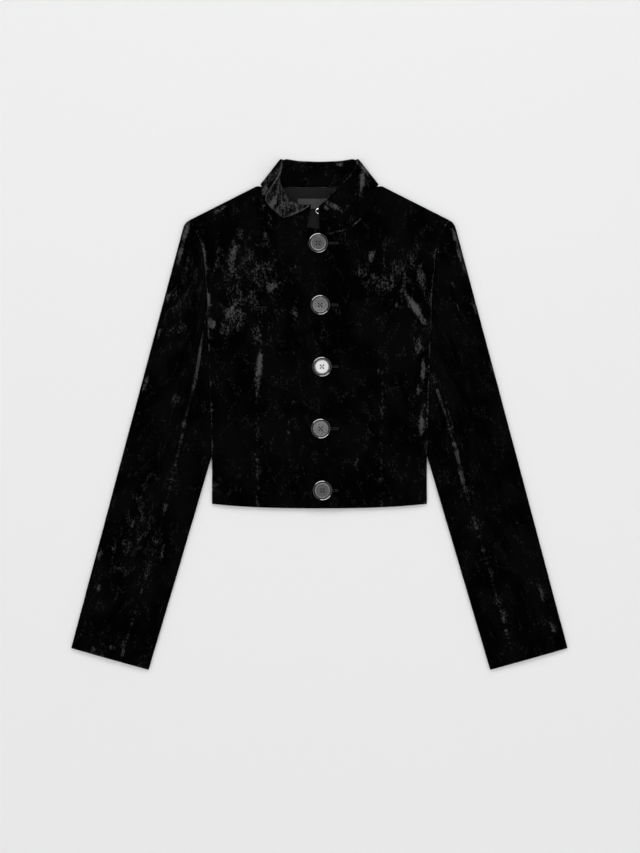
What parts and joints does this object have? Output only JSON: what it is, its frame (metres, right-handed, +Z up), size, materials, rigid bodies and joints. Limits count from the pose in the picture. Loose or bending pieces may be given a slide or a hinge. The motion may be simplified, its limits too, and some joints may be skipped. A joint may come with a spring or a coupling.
{
  "type": "cropped velvet jacket laid flat",
  "caption": "Cropped black crushed-velvet jacket laid flat on its back, buttoned, with a stand collar turned out on one side and long two-piece sleeves.",
  "frame": {"origin": "middle of the jacket's outline on the table that it lies on", "axes": "+X to the viewer's right, which is the wearer's left, +Y from the cuffs to the collar, +Z up from the table"},
  "size_m": [0.7026, 0.7232, 0.0248],
  "materials": {
    "velvet": "crushed pile, soft sheen",
    "lining": "satin weave",
    "label": "plain woven",
    "button": "polished dark metal",
    "metal": "polished"
  },
  "bodies": {
    "root": {"back": "velvet", "front_left": "velvet", "front_right": "velvet", "sleeve_left_top": "velvet", "sleeve_left_under": "velvet", "sleeve_right_top": "velvet", "sleeve_right_under": "velvet", "collar": "velvet", "back_neck_facing": "lining", "neck_label": "label", "button_1": "button", "button_2": "button", "button_3": "button", "button_4": "button", "button_5": "button", "collar_eye": "metal"}
  },
  "joints": []
}
